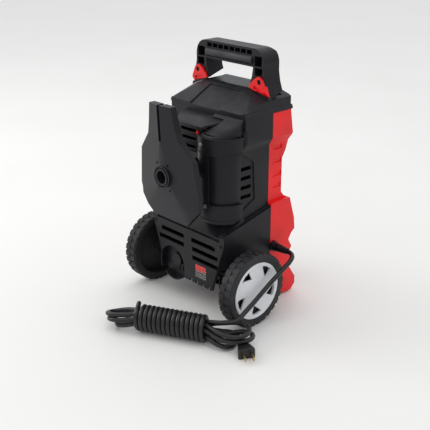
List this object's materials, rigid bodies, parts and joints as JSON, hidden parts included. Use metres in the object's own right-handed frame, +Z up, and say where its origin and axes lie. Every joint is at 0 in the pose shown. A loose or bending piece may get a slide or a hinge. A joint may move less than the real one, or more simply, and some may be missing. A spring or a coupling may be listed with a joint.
{
  "type": "pressure washer",
  "caption": "Upright electric pressure washer on two wheels, with a fixed carry handle, a hose reel bracket, a lance holder and a mains lead in a hank.",
  "frame": {"origin": "on the floor, under the middle of the box round the machine without its free mains lead", "axes": "+X across the machine, +Y towards its back with the wheels and the reel bracket, +Z up"},
  "size_m": [0.3303, 0.3157, 0.414],
  "materials": {
    "black_plastic": "fine-textured matt black",
    "charcoal_plastic": "fine-textured charcoal",
    "red_plastic": "semi-gloss red",
    "grip_rubber": "soft matt dark grey",
    "tyre": "matt black with moulded tread",
    "wheel_cover": "satin silver white",
    "steel": "plain steel",
    "black_screws": "black oxide",
    "label": "dark red film",
    "die_casting": "cast, satin",
    "iron": "laminated, dull",
    "copper": "enamelled copper",
    "brass": "turned brass",
    "brown_plastic": "phenolic brown",
    "white_plastic": "translucent white",
    "blue_plastic": "matt blue",
    "capacitor_can": "plain can",
    "cord_rubber": "black flexible sheath"
  },
  "bodies": {
    "body": {"chassis": "black_plastic", "rear_grille": "black_plastic", "rear_shell": "black_plastic", "vent_hood": "black_plastic", "lance_holder": "black_plastic", "reel_bracket": "charcoal_plastic", "top_cover": "charcoal_plastic", "front_shell": "red_plastic", "front_panel": "black_plastic", "handle": "charcoal_plastic", "handle_grip": "grip_rubber", "left_handle_clip": "red_plastic", "right_handle_clip": "red_plastic", "clip_screws": "black_screws", "shell_screws": "steel", "grille_screws": "black_screws", "axle": "steel", "axle_nuts": "steel", "foot_pads": "grip_rubber", "rating_label": "label", "motor_bracket": "die_casting", "motor_stator": "iron", "field_coils": "copper", "motor_bearings": "steel", "brush_holders": "brown_plastic", "pump_housing": "die_casting", "pump_head": "brass", "pump_bolts": "steel", "plunger_spring_1": "steel", "plunger_spring_2": "steel", "plunger_spring_3": "steel", "water_inlet": "brass", "inlet_filter": "white_plastic", "water_outlet": "brass", "pressure_switch": "blue_plastic", "capacitor": "capacitor_can", "power_switch": "black_plastic", "breaker": "black_plastic", "reset_spring": "steel", "strain_relief": "cord_rubber", "cord_lead": "cord_rubber", "cord_hank": "cord_rubber", "plug": "cord_rubber", "plug_blades": "brass"},
    "left_wheel": {"left_tyre": "tyre", "left_wheel_cover": "wheel_cover"},
    "right_wheel": {"right_tyre": "tyre", "right_wheel_cover": "wheel_cover"},
    "rotor": {"motor_shaft": "steel", "armature": "iron", "commutator": "copper", "cooling_fan": "black_plastic", "swash_plate": "steel"},
    "first_plunger": {"plunger_1": "steel"},
    "second_plunger": {"plunger_2": "steel"},
    "third_plunger": {"plunger_3": "steel"},
    "knob": {"power_knob": "red_plastic"},
    "button": {"reset_button": "red_plastic"}
  },
  "joints": [
    {"name": "left_wheel_spin", "type": "hinge", "parent": "body", "child": "left_wheel", "pos_m": [0.115, 0.026, 0.06], "axis": [1, 0, 0], "continuous": true},
    {"name": "right_wheel_spin", "type": "hinge", "parent": "body", "child": "right_wheel", "pos_m": [-0.115, 0.026, 0.06], "axis": [1, 0, 0], "continuous": true},
    {"name": "rotor_spin", "type": "hinge", "parent": "body", "child": "rotor", "pos_m": [0, -0.036, 0.204], "axis": [0, 0, 1], "continuous": true},
    {"name": "plunger_1_slide", "type": "slide", "parent": "body", "child": "first_plunger", "axis": [0, 0, 1], "range_m": [-0.0042, 0], "stiffness_N_per_m": 1500, "springref_m": 0.002, "deforming": ["plunger_spring_1"]},
    {"name": "plunger_2_slide", "type": "slide", "parent": "body", "child": "second_plunger", "axis": [0, 0, 1], "range_m": [-0.0042, 0], "stiffness_N_per_m": 1500, "springref_m": 0.002, "deforming": ["plunger_spring_2"]},
    {"name": "plunger_3_slide", "type": "slide", "parent": "body", "child": "third_plunger", "axis": [0, 0, 1], "range_m": [-0.0042, 0], "stiffness_N_per_m": 1500, "springref_m": 0.002, "deforming": ["plunger_spring_3"]},
    {"name": "knob_turn", "type": "hinge", "parent": "body", "child": "knob", "pos_m": [0, -0.09, 0.287], "axis": [0, 1, 0], "range_deg": [0, 90]},
    {"name": "reset_press", "type": "slide", "parent": "body", "child": "button", "axis": [0, -1, 0], "range_m": [0, 0.002], "stiffness_N_per_m": 300, "springref_m": -0.001, "deforming": ["reset_spring"]}
  ]
}
